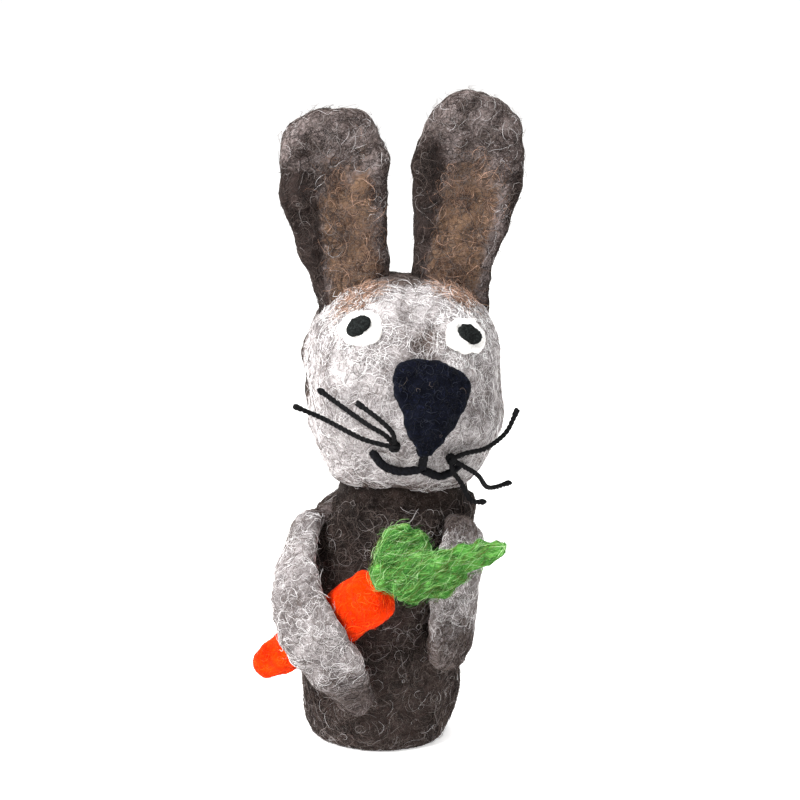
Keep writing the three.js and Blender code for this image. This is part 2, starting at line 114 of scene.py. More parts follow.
def mesh_object(name, verts, faces, materials, face_material=None, **tints):
    """A mesh from millimetre vertices. Faces are one array, or several with their own number of corners.
    Each tint is a named value per vertex that the materials read."""
    groups = [np.asarray(f, np.int64) for f in (faces if isinstance(faces, list) else [faces])]
    groups = [f for f in groups if len(f)]
    corners = np.concatenate([f.ravel() for f in groups])
    totals = np.concatenate([np.full(len(f), f.shape[1]) for f in groups])
    mesh = bpy.data.meshes.new(name)
    mesh.vertices.add(len(verts))
    mesh.vertices.foreach_set("co", (np.asarray(verts) * MM).astype(np.float32).ravel())
    mesh.loops.add(len(corners))
    mesh.loops.foreach_set("vertex_index", corners.astype(np.int32))
    mesh.polygons.add(len(totals))
    starts = np.concatenate([[0], np.cumsum(totals)[:-1]])
    mesh.polygons.foreach_set("loop_start", starts.astype(np.int32))
    for m in materials:
        mesh.materials.append(m)
    if face_material is not None:
        mesh.polygons.foreach_set("material_index", np.asarray(face_material, np.int32))
    mesh.update(calc_edges=True)
    mesh.polygons.foreach_set("use_smooth", np.ones(len(totals), bool))
    place = mesh.attributes.new("rest", "FLOAT_VECTOR", "POINT")
    place.data.foreach_set("vector", np.asarray(verts, np.float32).ravel())
    for key, value in tints.items():
        tint = mesh.attributes.new(key, "FLOAT", "POINT")
        tint.data.foreach_set("value", np.asarray(value, np.float32))
    obj = bpy.data.objects.new(name, mesh)
    scene.collection.objects.link(obj)
    return obj


def arrays(obj):
    """Vertices in millimetres, vertex normals, and triangles."""
    mesh = obj.data
    co = np.empty(len(mesh.vertices) * 3, np.float32)
    mesh.vertices.foreach_get("co", co)
    normal = np.empty(len(mesh.vertices) * 3, np.float32)
    mesh.vertex_normals.foreach_get("vector", normal)
    mesh.calc_loop_triangles()
    tri = np.empty(len(mesh.loop_triangles) * 3, np.int32)
    mesh.loop_triangles.foreach_get("vertices", tri)
    return co.reshape(-1, 3) / MM, normal.reshape(-1, 3).astype(float), tri.reshape(-1, 3)


def remeshed(parts, voxel, passes=4):
    """One even skin of quads round the given (vertices, triangles) parts, which may overlap."""
    verts, tris, base = [], [], 0
    for v, t in parts:
        verts.append(v)
        tris.append(np.asarray(t) + base)
        base += len(v)
    scratch = mesh_object("scratch", np.concatenate(verts), np.concatenate(tris), [])
    skin = scratch.modifiers.new("skin", "REMESH")
    skin.mode = "VOXEL"
    skin.voxel_size = voxel * MM
    soft = scratch.modifiers.new("soft", "SMOOTH")
    soft.iterations = passes
    soft.factor = 0.6
    evaluated = scratch.evaluated_get(bpy.context.evaluated_depsgraph_get())
    result = bpy.data.meshes.new_from_object(evaluated)
    co = np.empty(len(result.vertices) * 3, np.float32)
    result.vertices.foreach_get("co", co)
    loops = np.empty(len(result.loops), np.int32)
    result.loops.foreach_get("vertex_index", loops)
    bpy.data.objects.remove(scratch)
    quads = loops.reshape(-1, 4)
    bpy.data.meshes.remove(result)
    return co.reshape(-1, 3) / MM, quads


def node_part(name):
    co, _, tri = arrays(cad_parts[name])
    return co, tri


def grid_faces(rings, sides):
    """Quads of a closed tube of rings, each with that many sides."""
    i = np.arange(rings - 1)[:, None] * sides
    j = np.arange(sides)[None, :]
    k = (j + 1) % sides
    return np.stack([i + j, i + k, i + sides + k, i + sides + j], -1).reshape(-1, 4)


def normals_of(verts, faces):
    a, b, c = verts[faces[:, 0]], verts[faces[:, 1]], verts[faces[:, 2]]
    n = np.cross(b - a, c - a)
    if faces.shape[1] == 4:
        n = n + np.cross(c - a, verts[faces[:, 3]] - a)
    out = np.zeros_like(verts)
    for i in range(faces.shape[1]):
        np.add.at(out, faces[:, i], n)
    return out / np.maximum(np.linalg.norm(out, axis=1), 1e-9)[:, None]


def lumpy(verts, faces, seed, coarse=0.35, middle=0.14, fine=0.05, sizes=(15, 6, 2.0), keep=None):
    """Hand-felted unevenness, along the surface's normals."""
    n = normals_of(verts, faces)
    heights = (coarse, middle, fine)
    push = sum(h * waves(verts, s, seed + i) for i, (h, s) in enumerate(zip(heights, sizes)))
    if keep is not None:
        push = push * keep
    return verts + n * push[:, None]


# ------- materials
def srgb(code):
    part = [int(code[i : i + 2], 16) / 255 for i in (0, 2, 4)]
    return tuple(c / 12.92 if c <= 0.04045 else ((c + 0.055) / 1.055) ** 2.4 for c in part) + (1.0,)


class Graph:
    """A small helper that adds shader nodes and joins them."""

    def __init__(self, name):
        self.material = bpy.data.materials.new(name)
        self.material.use_nodes = True
        self.tree = self.material.node_tree
        self.shader = self.tree.nodes["Principled BSDF"]

    def node(self, kind, inputs=(), **settings):
        made = self.tree.nodes.new(kind)
        for key, value in settings.items():
            setattr(made, key, value)
        for key, value in dict(inputs).items():
            if isinstance(value, bpy.types.NodeSocket):
                self.tree.links.new(value, made.inputs[key])
            else:
                made.inputs[key].default_value = value
        return made

    def math(self, operation, a, b=0.0, clamp=False):
        return self.node("ShaderNodeMath", {0: a, 1: b}, operation=operation, use_clamp=clamp).outputs[0]

    def mix(self, share, a, b):
        made = self.node("ShaderNodeMix", {0: share, 6: a, 7: b}, data_type="RGBA")
        return made.outputs[2]

    def noise(self, place, scale, detail=2.0, rough=0.5, distortion=0.0, shift=0.0):
        if shift:
            offset = (shift, 1.7 * shift, -0.6 * shift)
            place = self.node("ShaderNodeVectorMath", {0: place, 1: offset}, operation="ADD").outputs[0]
        made = self.node(
            "ShaderNodeTexNoise",
            {
                "Vector": place, "Scale": scale, "Detail": detail,
                "Roughness": rough, "Distortion": distortion,
            },
        )
        return made.outputs["Fac"]

    def range(self, value, low, high, to_low=0.0, to_high=1.0, soft=True):
        made = self.node(
            "ShaderNodeMapRange",
            {0: value, 1: low, 2: high, 3: to_low, 4: to_high},
            interpolation_type="SMOOTHSTEP" if soft else "LINEAR",
        )
        return made.outputs[0]

    def strands(self, place, scale, count, width, shift):
        """Thin curly lines, where a noise passes whole steps: 1 on a fibre, 0 beside it."""
        field = self.noise(place, scale, 2.5, 0.55, 0.6, shift)
        fold = self.math("PINGPONG", self.math("MULTIPLY", field, count), 0.5)
        line = self.range(fold, 0.0, width, 1.0, 0.0)
        broken = self.range(self.noise(place, scale * 2.3, 1.0, 0.5, 0.0, shift + 31), 0.42, 0.56)
        return self.math("MULTIPLY", line, broken)

    def finish(self, rough, sheen=0.0, sheen_rough=0.4, specular=0.25):
        self.shader.inputs["Roughness"].default_value = rough
        self.shader.inputs["Specular IOR Level"].default_value = specular
        self.shader.inputs["Sheen Weight"].default_value = sheen
        self.shader.inputs["Sheen Roughness"].default_value = sheen_rough
        return self.material


def felt(name, tones, regions=(), mottle=0.11, sheen=0.05, seed=0.0, bump=0.6, grain_way=None):
    """Felted wool: mottled ground, with lighter and darker curly fibres in and over it.
    tones are (ground, second ground, light fibre, dark fibre).
    Each region is (tint, tones, low, high): its tones come in where the tint goes from low to high."""
    g = Graph(name)
    place = g.node("ShaderNodeAttribute", attribute_name="rest").outputs["Vector"]
    if grain_way:
        place = g.node("ShaderNodeVectorMath", {0: place, 1: grain_way}, operation="MULTIPLY").outputs[0]
    light = g.strands(place, 0.36, 17, 0.1, seed + 3)
    light_fine = g.strands(place, 0.7, 15, 0.13, seed + 17)
    dark = g.strands(place, 0.4, 15, 0.14, seed + 41)
    patch = g.noise(place, mottle, 6.0, 0.66, 0.4, seed + 7)
    grain = g.noise(place, 2.6, 4.0, 0.65, 0.5, seed + 11)
    cloud = g.math("ADD", g.math("MULTIPLY", patch, 0.68), g.math("MULTIPLY", grain, 0.32))

    def wool(four):
        ground, second, pale, deep = [srgb(c) for c in four]
        colour = g.mix(g.range(cloud, 0.41, 0.59), ground, second)
        colour = g.mix(g.math("MULTIPLY", dark, 0.6), colour, deep)
        colour = g.mix(g.math("MULTIPLY", light, 0.62), colour, pale)
        return g.mix(g.math("MULTIPLY", light_fine, 0.4), colour, pale)

    colour = wool(tones)
    for k, (tint, region_tones, low, high) in enumerate(regions):
        zone = g.node("ShaderNodeAttribute", attribute_name=tint).outputs["Fac"]
        wander = g.math("SUBTRACT", g.noise(place, 0.42, 5.0, 0.7, 1.0, seed + 5 + 13 * k), 0.5)
        broad = g.math("SUBTRACT", g.noise(place, 0.15, 3.0, 0.6, 0.6, seed + 8 + 13 * k), 0.5)
        wander = g.math("ADD", g.math("MULTIPLY", wander, 1.3), g.math("MULTIPLY", broad, 1.1))
        edge = g.range(g.math("ADD", zone, wander), low, high)
        colour = g.mix(edge, colour, wool(region_tones))
    g.tree.links.new(colour, g.shader.inputs["Base Color"])
    height = g.math("ADD", g.math("MULTIPLY", light, 0.7), g.math("MULTIPLY", light_fine, 0.5))
    height = g.math("ADD", height, g.math("MULTIPLY", dark, 0.45))
    height = g.math("ADD", height, g.math("MULTIPLY", grain, 1.1))
    relief = g.node("ShaderNodeBump", {"Strength": bump, "Distance": 0.0002, "Height": height})
    g.tree.links.new(relief.outputs[0], g.shader.inputs["Normal"])
    return g.finish(1.0, sheen, 0.3, 0.04)


def fibre(name, code, sheen=0.05):
    """One shade of loose wool fibre."""
    g = Graph(name)
    g.shader.inputs["Base Color"].default_value = srgb(code)
    return g.finish(0.9, sheen, 0.3, 0.12)


def thread_material(name, codes, seed=0.0):
    """Twisted cotton: dull black with greyer fibres along it."""
    g = Graph(name)
    place = g.node("ShaderNodeAttribute", attribute_name="rest").outputs["Vector"]
    fleck = g.noise(place, 3.5, 4.0, 0.7, 0.6, seed)
    g.tree.links.new(
        g.mix(g.range(fleck, 0.45, 0.72), srgb(codes[0]), srgb(codes[1])), g.shader.inputs["Base Color"]
    )
    relief = g.node("ShaderNodeBump", {"Strength": 0.5, "Distance": 0.00008, "Height": fleck})
    g.tree.links.new(relief.outputs[0], g.shader.inputs["Normal"])
    return g.finish(0.8, 0.0, 0.4, 0.12)


def wadding(name):
    """Undyed core wool, for a part of the frame, which has no rest places of its own."""
    g = Graph(name)
    place = g.node("ShaderNodeTexCoord").outputs["Object"]
    tone = g.range(g.noise(place, 700.0, 4.0, 0.6, 0.4), 0.4, 0.6)
    g.tree.links.new(g.mix(tone, srgb("b9b0a6"), srgb("d8d1c8")), g.shader.inputs["Base Color"])
    return g.finish(0.95, 0.2)


DARK_WOOL = ("130e0c", "362c29", "877d78", "050303")
PALE_WOOL = ("6a6464", "aaa5a5", "efedee", "332c2c")
BROWN_WOOL = ("2f2623", "544945", "8f8580", "150f0d")
CHEST_WOOL = ("0b0706", "1f1815", "5e5551", "030202")
PEACH_WOOL = ("6b4f41", "a07f6d", "dcc3b3", "3e2b22")

mat_body = felt("felt_body", DARK_WOOL, [("chest", CHEST_WOOL, 0.2, 0.95)], seed=1)
mat_head = felt(
    "felt_head", PALE_WOOL,
    [
        # over the nose this region is browner wool; under the chin it is darker wool with painted shade
        ("bridge", BROWN_WOOL, 0.25, 0.95),
        ("hood", BROWN_WOOL, 0.35, 0.7),
        ("tuft", PEACH_WOOL, 0.35, 0.8),
    ],
    seed=9, mottle=0.15,
)
mat_ear = felt(
    "felt_ear", ("332a28", "6f6462", "b3aaa9", "120c0b"),
    [
        ("rim", ("120c0a", "2e2523", "6a5f5b", "060303"), 0.25, 0.75),
        ("lining", ("33241d", "66503f", "a88f7d", "180f0b"), 0.3, 0.85),
    ],
    seed=23, mottle=0.17,
)
mat_arm = felt(
    "felt_arm", ("534d4d", "8c8686", "e0dddd", "262020"),
    # end: painted shade, darkening each arm towards its lower end and round its top under the head
    [("end", ("352c2b", "655c5a", "a29a98", "1a1413"), 0.25, 0.95)],
    seed=31, mottle=0.14,
)
mat_white = felt("felt_white", ("cfccc8", "efeeeb", "ffffff", "b4b0ab"), seed=37, bump=0.4)
mat_nose = felt("felt_nose", ("04050a", "0b0d15", "20243a", "010203"), seed=41, sheen=0.03, mottle=0.3)
mat_carrot = felt(
    "felt_carrot", ("b81a00", "dd3000", "fb560c", "741200"), seed=47, mottle=0.2, bump=0.35
)
mat_leaf = felt(
    "felt_leaf", ("16400f", "538f3d", "a4cf88", "0a2005"),
    [("edge", ("35401b", "67703a", "9fa76a", "1c220d"), 0.4, 0.95)],
    seed=53, mottle=0.3, grain_way=(0.38, 1.0, 0.9),
)
mat_thread = thread_material("thread_black", ("020203", "0f0f12"))
mat_yarn = thread_material("yarn_black", ("020204", "10101a"), 9.0)
# on the pupils the grey-green flecks are painted glints on the black stitches
mat_pupil_painted_glints = thread_material("thread_pupil_painted_glints", ("020303", "262b2a"), 5.0)
mat_wadding = wadding("felt_wadding")

SHADES = {
    "snow": "ffffff", "white": "f4f2f2", "pale": "cbc6c6", "grey": "8e8785", "taupe": "645954",
    "brown": "3f3531", "dark": "1d1614", "peach": "c09a83", "tan": "7f6353", "orange": "ec3e02",
    "amber": "f96a1c", "rust": "b53203", "green": "478a38", "lime": "86bb6a", "mint": "b9d8a0",
    "moss": "28571f", "olive": "5c5f2c", "ink": "05060a", "slate": "262a36",
}
shades = {name: fibre(f"fibre_{name}", code) for name, code in SHADES.items()}


# ------- loose fibres
def fuzz(
    name, skin, count, mixes, length=(2.2, 5.5), radius=0.034, lift=0.08, stray=0.08, stray_lift=1.0,
    seed=1, where=None, points=6, curl=0.7, zone=None, comb=None,
):
    """Thin closed curly fibres lying on a skin, some of them standing off it.
    mixes are (shade names, weights), one for each value of zone. where weights the skin's triangles,
    and comb gives the way that the fibres lie."""
    rng = np.random.default_rng(seed)
    co, normal, tri = arrays(skin)
    a, b, c = co[tri[:, 0]], co[tri[:, 1]], co[tri[:, 2]]
    area = np.linalg.norm(np.cross(b - a, c - a), axis=1)
    if where is not None:
        area = area * np.clip(where((a + b + c) / 3, normal[tri[:, 0]]), 0, None)
    pick = rng.choice(len(tri), count, p=area / area.sum())
    u, v = rng.random(count), rng.random(count)
    flip = u + v > 1
    u, v = np.where(flip, 1 - u, u), np.where(flip, 1 - v, v)
    root = a[pick] + (b[pick] - a[pick]) * u[:, None] + (c[pick] - a[pick]) * v[:, None]
    tree = BVHTree.FromPolygons(co.tolist(), tri.tolist())
    n = normal[tri[pick, 0]]
    heading = np.cross(n, rng.normal(size=(count, 3)))
    heading /= np.linalg.norm(heading, axis=1)[:, None]
    if comb is not None:
        heading = heading * 0.5 + comb(root) * rng.choice([-1, 1], count)[:, None]
    heading /= np.linalg.norm(heading, axis=1)[:, None]
    total = rng.uniform(*length, count)
    step = (total / (points - 1))[:, None]
    strays = rng.random(count) < stray
    high, low = stray_lift * rng.uniform(0.4, 1.3, count), lift * rng.uniform(0.2, 1.6, count)
    rise = np.where(strays, high, low)
    bend = rng.normal(0, curl, count)
    ring_at, ring_n, here = [], [], root.copy()
    for k in range(points):
        near = [tree.find_nearest(Vector(p)) for p in here]
        on = np.array([q[0] for q in near])
        facing = np.array([q[1] for q in near])
        t = k / (points - 1)
        arch = np.where(strays, t**1.4, 0.35 + 0.65 * math.sin(math.pi * t))
        ring_at.append(on + facing * (rise * arch)[:, None])
        ring_n.append(facing)
        heading = heading - facing * (heading * facing).sum(1)[:, None]
        heading /= np.maximum(np.linalg.norm(heading, axis=1), 1e-6)[:, None]
        angle = bend + rng.normal(0, 0.35 * curl, count)
        side = np.cross(facing, heading)
        heading = heading * np.cos(angle)[:, None] + side * np.sin(angle)[:, None]
        here = on + heading * step
    at = np.stack(ring_at, 1)
    at[..., 2] = np.maximum(at[..., 2], ABOVE_TABLE)
    up = np.stack(ring_n, 1)
    along = np.gradient(at, axis=1)
    along /= np.maximum(np.linalg.norm(along, axis=2), 1e-9)[..., None]
    up = up - along * (up * along).sum(2)[..., None]
    up /= np.maximum(np.linalg.norm(up, axis=2), 1e-9)[..., None]
    across = np.cross(along, up)
    t = np.linspace(0, 1, points)
    taper = radius * (0.45 + 0.55 * np.sin(np.pi * np.clip(t, 0.08, 0.92)))
    thick = taper[None, :] * rng.uniform(0.7, 1.35, count)[:, None]
    corners = (0, TAU / 3, 2 * TAU / 3)
    rings = [at + (math.cos(w) * up + math.sin(w) * across) * thick[..., None] for w in corners]
    verts = np.stack(rings, 2).reshape(-1, 3)
    one = grid_faces(points, 3)
    caps = np.array([[2, 1, 0], [3 * points - 3, 3 * points - 2, 3 * points - 1]])
    base = (np.arange(count) * 3 * points)[:, None, None]
    quads = (one[None] + base).reshape(-1, 4)
    ends = (caps[None] + base).reshape(-1, 3)
    names = sorted(set(sum((list(m[0]) for m in mixes), [])))
    index = np.zeros(count, int)
    level = np.zeros(count) if zone is None else zone(root) + rng.normal(0, 0.12, count)
    pick_zone = np.clip(np.round(level), 0, len(mixes) - 1).astype(int)
    for z, (which, weights) in enumerate(mixes):
        chosen = pick_zone == z
        w = np.array(weights, float)
        index[chosen] = rng.choice([names.index(x) for x in which], chosen.sum(), p=w / w.sum())
    face_material = np.concatenate([np.repeat(index, len(one)), np.repeat(index, 2)])
    return mesh_object(name, verts, [quads, ends], [shades[x] for x in names], face_material)


# ------- body
def lean(z):
    return NECK[0] * np.clip(np.asarray(z, float) / NECK[2], 0, 1) ** LEAN_POWER


def flank(z):
    fall = np.clip((NECK[2] - np.asarray(z, float)) / (NECK[2] - BELLY_RISE), 0, 1)
    return DOME + (BELLY - DOME) * np.sin(math.pi / 2 * np.sqrt(fall))


def body_outline():
    quarter = np.linspace(0, math.pi / 2, 12)
    dome = [(DOME * math.sin(q), NECK[2] + DOME * math.cos(q)) for q in quarter[1:]]
    heights = NECK[2] + (BELLY_RISE - NECK[2]) * np.linspace(0, 1, 24)[1:] ** 2
    side = [(float(flank(z)), z) for z in heights]
    base = [(RIM + (BELLY - RIM) * math.cos(q), BELLY_RISE * (1 - math.sin(q))) for q in quarter[1:]]
    bore = [(11.4, -0.0), (BORE + 0.3, 0.35), (BORE, 1.2)] + [(BORE, z) for z in (8, 16, 24)]
    inner = DOME - DOME_WALL
    roof = [(inner * math.cos(q), NECK[2] + inner * math.sin(q)) for q in quarter[:-1]]
    crown, ceiling = [(0.02, NECK[2] + DOME)], [(0.02, NECK[2] + inner)]
    points = np.array(crown + dome + side + base + bore + roof + ceiling)
    run = np.concatenate([[0], np.cumsum(np.linalg.norm(np.diff(points, axis=0), axis=1))])
    even = np.linspace(0, run[-1], int(run[-1] / 0.62))
    return np.stack([np.interp(even, run, points[:, 0]), np.interp(even, run, points[:, 1])], 1)


def make_body():
    outline = body_outline()
    sides = 168
    angle = np.linspace(0, TAU, sides, endpoint=False)
    r, z = outline[:, 0][:, None], outline[:, 1][:, None]
    verts = np.stack([r * np.sin(angle) + lean(z), -r * np.cos(angle), z + 0 * angle], -1).reshape(-1, 3)
    faces = grid_faces(len(outline), sides)[:, ::-1]
    radial = np.hypot(verts[:, 0] - lean(verts[:, 2]), verts[:, 1])
    outer = smooth(radial, 10.5, 12.5)
    keep = np.where(verts[:, 2] > NECK[2], 0.15, 0.35 + 0.65 * outer)
    keep = keep * (0.25 + 0.75 * smooth(verts[:, 2], 0, 4))
    verts = lumpy(verts, faces, 101, 0.45, 0.2, 0.07, (17, 7, 2.2), keep)
    to_right = np.clip(-(verts[:, 0] - lean(verts[:, 2])) / np.maximum(radial, 1), 0, 1)
    shoulder = smooth(verts[:, 2], 34, 45) * (1 - smooth(verts[:, 2], 47, 51.5))
    shoulder = shoulder * smooth(to_right, 0.25, 0.9) * outer
    verts[:, 0] -= 3.0 * shoulder
    verts[:, 2] = np.maximum(verts[:, 2], 0)
    top, bottom = np.arange(sides), np.arange(sides) + (len(outline) - 1) * sides
    chest = 0.75 * smooth(verts[:, 2], 22, 40)
    skin = [faces, top[None, :], bottom[None, ::-1]]
    body = mesh_object("body_felt", verts, skin, [mat_body], chest=chest)
    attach(body, "trunk")
    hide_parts("body_tube")
    return body


# ------- head
def muzzle(p):
    """How far the muzzle stands out towards -Y, in the head's frame."""
    spread = (p[:, 0] / 11) ** 2 + ((p[:, 2] + 1) / 10) ** 2
    return MUZZLE_OUT * np.exp(-spread) * smooth(-p[:, 1], 0, 8)


def head_form(direction, grow=0.0):
    half = HALF + grow
    p = direction / (np.abs(direction / half) ** ROUND).sum(1)[:, None] ** (1 / ROUND)
    p[:, 1] -= muzzle(p)
    return p


def face_depth(x, z):
    rest = 1 - np.abs(x / HALF[0]) ** ROUND - np.abs(z / HALF[2]) ** ROUND
    y = -HALF[1] * np.maximum(rest, 1e-4) ** (1 / ROUND)
    p = np.stack([np.broadcast_to(x, y.shape), y, np.broadcast_to(z, y.shape)], -1).reshape(-1, 3)
    return (y.ravel() - muzzle(p)).reshape(y.shape)


def on_face(x, z, lift=0.0):
    """Points of the head's front, lifted off it, in the head's frame, and its normals there."""
    x, z = np.atleast_1d(np.asarray(x, float)), np.atleast_1d(np.asarray(z, float))
    h = 0.05
    slope_x = (face_depth(x + h, z) - face_depth(x - h, z)) / (2 * h)
    slope_z = (face_depth(x, z + h) - face_depth(x, z - h)) / (2 * h)
    normal = np.stack([slope_x, -np.ones_like(x), slope_z], -1)
    normal /= np.linalg.norm(normal, axis=1)[:, None]
    point = np.stack([x, face_depth(x, z), z], -1)
    return point + normal * np.asarray(lift, float).reshape(-1, 1), normal


def hood_tint(p):
    """1 on the darker hood, 0 on the light face, for points in the head's frame."""
    return smooth(p[:, 1] + 9 * smooth(p[:, 2], 17.5, 21.3), 0.5, 7.0)


def bridge_tint(p):
    """The browner wool over the nose and between the eyes, and darker wool under the chin with painted
    shade there, where the head's underside is in shadow.
    """
    spread = ((p[:, 0] - 1.5) / 7.5) ** 2 + ((p[:, 2] - 11.5) / 5.0) ** 2
    # painted shade: the chin is darkened for the shadow under the head, over its darker wool
    painted_chin_shade = smooth(-p[:, 2], 13.5, 19) * smooth(-p[:, 1], -2, 5)
    return np.maximum(0.8 * np.exp(-spread) * (p[:, 1] < 0), painted_chin_shade)


def tuft_tint(p):
    """Peach wool that comes down from the ears' roots onto the forehead."""
    out = np.zeros(len(p))
    for x in (10.5, -10.8):
        spread = ((p[:, 0] - x) / 5.5) ** 2 + ((p[:, 1] + 5) / 4.5) ** 2 + ((p[:, 2] - 19.5) / 3.6) ** 2
        out = np.maximum(out, np.exp(-spread))
    return out


def cube_sphere(cuts):
    line = np.tan(np.linspace(-math.pi / 4, math.pi / 4, cuts + 1))
    u, v = np.meshgrid(line, line, indexing="ij")
    one = np.ones_like(u)
    sides = [(u, v, one), (v, u, -one), (one, u, v), (-one, v, u), (v, one, u), (u, -one, v)]
    verts = np.concatenate([np.stack(s, -1).reshape(-1, 3) for s in sides])
    n = cuts + 1
    i, j = np.meshgrid(np.arange(cuts), np.arange(cuts), indexing="ij")
    quad = np.stack([i * n + j, (i + 1) * n + j, (i + 1) * n + j + 1, i * n + j + 1], -1).reshape(-1, 4)
    faces = np.concatenate([quad + k * n * n for k in range(6)])
    key, first, back = np.unique(np.round(verts, 6), axis=0, return_index=True, return_inverse=True)
    verts = verts[first]
    return verts / np.linalg.norm(verts, axis=1)[:, None], back.reshape(-1)[faces]


def make_head():
    direction, faces = cube_sphere(66)
    p = head_form(direction, 0.1)
    p = lumpy(p, faces, 211, 0.4, 0.18, 0.06, (14, 6.5, 2.2))
    neck = np.array([0, 0, NECK[2] - HEAD[2]])
    away = p - neck
    radial = np.hypot(away[:, 0], away[:, 1])
    inside = (np.linalg.norm(away, axis=1) < DOME + 0.45) & (p[:, 2] < 0)
    seat = np.where(radial < 11.2, DOME + 2.9, DOME + 0.45)
    p[inside, 2] = neck[2] + np.sqrt(np.maximum(seat**2 - radial**2, 4.0))[inside]
    head = mesh_object(
        "head_felt", head_to_frame(p), faces, [mat_head],
        hood=hood_tint(p), bridge=bridge_tint(p), tuft=tuft_tint(p),
    )
    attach(head, "head")
    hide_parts("face", "hood", "head_core")
    return head


# ------- ears
def bezier(a, b, c, d, count):
    t = np.linspace(0, 1, count)[:, None]
    a, b, c, d = (np.array(x, float) for x in (a, b, c, d))
    return a * (1 - t) ** 3 + 3 * b * t * (1 - t) ** 2 + 3 * c * t**2 * (1 - t) + d * t**3


def ear_outline(length):
    widest = (EAR_WIDEST, length * 0.66)
    low = bezier((EAR_BASE, 0), (EAR_BASE, length * 0.25), (EAR_WIDEST, length * 0.4), widest, 40)
    high = bezier(widest, (EAR_WIDEST, length * 0.9), (EAR_WIDEST * 0.6, length), (0.05, length), 60)
    root = np.array([[EAR_BASE - 2.2, -13.0], [EAR_BASE - 0.6, -9.0], [EAR_BASE, -4.5]])
    points = np.concatenate([root, low, high[1:]])
    run = np.concatenate([[0], np.cumsum(np.linalg.norm(np.diff(points, axis=0), axis=1))])
    even = np.linspace(0, run[-1], int(run[-1] / 0.45))
    return np.stack([np.interp(even, run, points[:, 0]), np.interp(even, run, points[:, 1])], 1)


def ear_tints(x, z, front, length, side):
    """The tan middle of the ear's front and the darker wool beside it, most of it on the -X side."""
    across = (x - 0.2 - (2.6 if side > 0 else 1.6) * np.clip(z / length, 0, 1)) / EAR_WIDEST
    lining = (1 - smooth(np.abs(across), 0.3, 0.72)) * (1 - smooth(z / length, 0.42, 0.95))
    lining = lining * smooth(front, 0.0, 0.9)
    edge = np.maximum(smooth(-across, 0.3, 0.75), 0.75 * smooth(across, 0.45, 0.85))
    edge = edge * (1 - smooth(z / length, 0.55, 0.95))
    return np.clip(lining, 0, 1), np.clip(edge, 0, 1)


def make_ear(side, side_name):
    length = EAR_LENGTH[side]
    outline = ear_outline(length)
    sides = 96
    angle = np.linspace(0, TAU, sides, endpoint=False)
    w, z = outline[:, 0][:, None], outline[:, 1][:, None]
    t = EAR_HALF * np.sqrt(np.clip(1 - (1 - np.minimum(w / 4.5, 1)) ** 2, 0.0004, 1))
    t = t * (1 + 0.12 * smooth(-z, -3, 4))
    power = 2 / 2.7
    cx = np.sign(np.cos(angle)) * np.abs(np.cos(angle)) ** power
    cy = np.sign(np.sin(angle)) * np.abs(np.sin(angle)) ** power
    x, y = w * cx, t * cy
    front = smooth(-cy, 0, 0.7)
    dish = (1 - smooth(np.abs(x) / np.maximum(w, 0.1), 0.25, 0.85)) * smooth(z, 2, 9)
    dish = dish * (1 - smooth(z, length - 11, length - 3))
    y = y + front * dish * 1.5
    swell = side * 0.9 * np.sin(np.pi * np.clip(z / length, 0, 1)) * np.ones_like(x)
    y = y - 1.4 * smooth(z / length, 0.45, 1.0) ** 2 + 0 * x
    verts = np.stack([x + swell, y, z + 0 * x], -1).reshape(-1, 3)
    faces = grid_faces(len(outline), sides)
    lining, rim = ear_tints(verts[:, 0], verts[:, 2], (front + 0 * x).reshape(-1), length, side)
    verts = lumpy(verts, faces, 311 + side, 0.35, 0.2, 0.07, (16, 7, 2.2))
    bottom, top = np.arange(sides), np.arange(sides) + (len(outline) - 1) * sides
    skin = [faces, bottom[None, ::-1], top[None, :]]
    ear = mesh_object(
        f"ear_{side_name}_felt", ear_to_frame(verts, side), skin, [mat_ear], lining=lining, rim=rim
    )
    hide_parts(f"ear_blade_{side_name}", f"ear_lining_{side_name}")
    return ear


def blend_ear(piece):
    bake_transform(piece)


# ------- arms, nose, eyes
def blob(centre, radii, cuts=10):
    direction, faces = cube_sphere(cuts)
    triangles = np.concatenate([faces[:, :3], faces[:, [0, 2, 3]]])
    return direction * np.asarray(radii) + np.asarray(centre), triangles


def roll(line, half_width, half_thickness, facing, sides=40, step=0.6):
    """A round-ended flat roll of felt along a line of points, with its flat side facing that way."""
    path = spline(line, step)
    run = np.concatenate([[0], np.cumsum(np.linalg.norm(np.diff(path, axis=0), axis=1))])
    s = run / run[-1]
    along = np.gradient(path, axis=0)
    along /= np.linalg.norm(along, axis=1)[:, None]
    flat = facing(path)
    flat = flat - along * (flat * along).sum(1)[:, None]
    flat /= np.linalg.norm(flat, axis=1)[:, None]
    across = np.cross(along, flat)
    width = half_width(s)
    to_end = np.minimum(run, run[-1] - run)
    cap = np.sqrt(np.clip(1 - (1 - np.clip(to_end / (0.9 * width), 0, 1)) ** 2, 0.004, 1))
    angle = np.linspace(0, TAU, sides, endpoint=False)
    wide = width[:, None, None] * np.cos(angle)[None, :, None] * across[:, None]
    thick = half_thickness(s)[:, None, None] * np.sin(angle)[None, :, None] * flat[:, None]
    ring = wide * cap[:, None, None] + thick * cap[:, None, None]
    verts = (path[:, None] + ring).reshape(-1, 3)
    quads = grid_faces(len(path), sides)
    tris = np.concatenate([quads[:, :3], quads[:, [0, 2, 3]]])
    last = (len(path) - 1) * sides
    fans = [[0, k + 1, k] for k in range(1, sides - 1)]
    fans += [[last, last + k, last + k + 1] for k in range(1, sides - 1)]
    return verts, np.concatenate([tris, np.array(fans)])


def outward(p):
    d = np.stack([p[:, 0] - lean(p[:, 2]), p[:, 1], 0 * p[:, 2]], 1)
    return d / np.linalg.norm(d, axis=1)[:, None]


